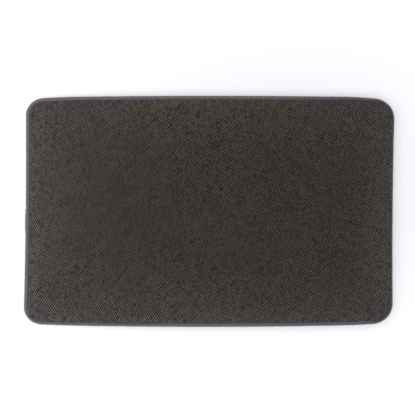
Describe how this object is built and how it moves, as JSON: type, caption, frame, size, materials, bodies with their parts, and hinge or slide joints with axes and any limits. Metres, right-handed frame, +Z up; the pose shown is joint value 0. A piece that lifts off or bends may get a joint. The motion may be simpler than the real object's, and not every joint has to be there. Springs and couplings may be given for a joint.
{
  "type": "bath mat",
  "caption": "Flat rectangular bath mat with rounded corners: knitted face, foam core, non-slip backing and a stitched edge binding.",
  "frame": {"origin": "middle of the underside, on the floor that the mat lies on", "axes": "+Z up out of the face, +X along the long side, +Y along the short side"},
  "size_m": [0.799, 0.4982, 0.012],
  "materials": {
    "face_knit": "matte dark warm grey diamond mesh knit",
    "foam": "open-cell flexible foam, off-white, hidden inside",
    "backing": "matte dark grey knit coated with small grip dots",
    "binding_tape": "ribbed polyester tape, grey with a faint violet cast",
    "sewing_thread": "polyester thread with a slight sheen, matched to the tape"
  },
  "bodies": {
    "root": {"nonslip_backing": "backing", "foam_core": "foam", "face_fabric": "face_knit", "edge_binding": "binding_tape", "needle_thread": "sewing_thread", "bobbin_thread": "sewing_thread"}
  },
  "joints": []
}
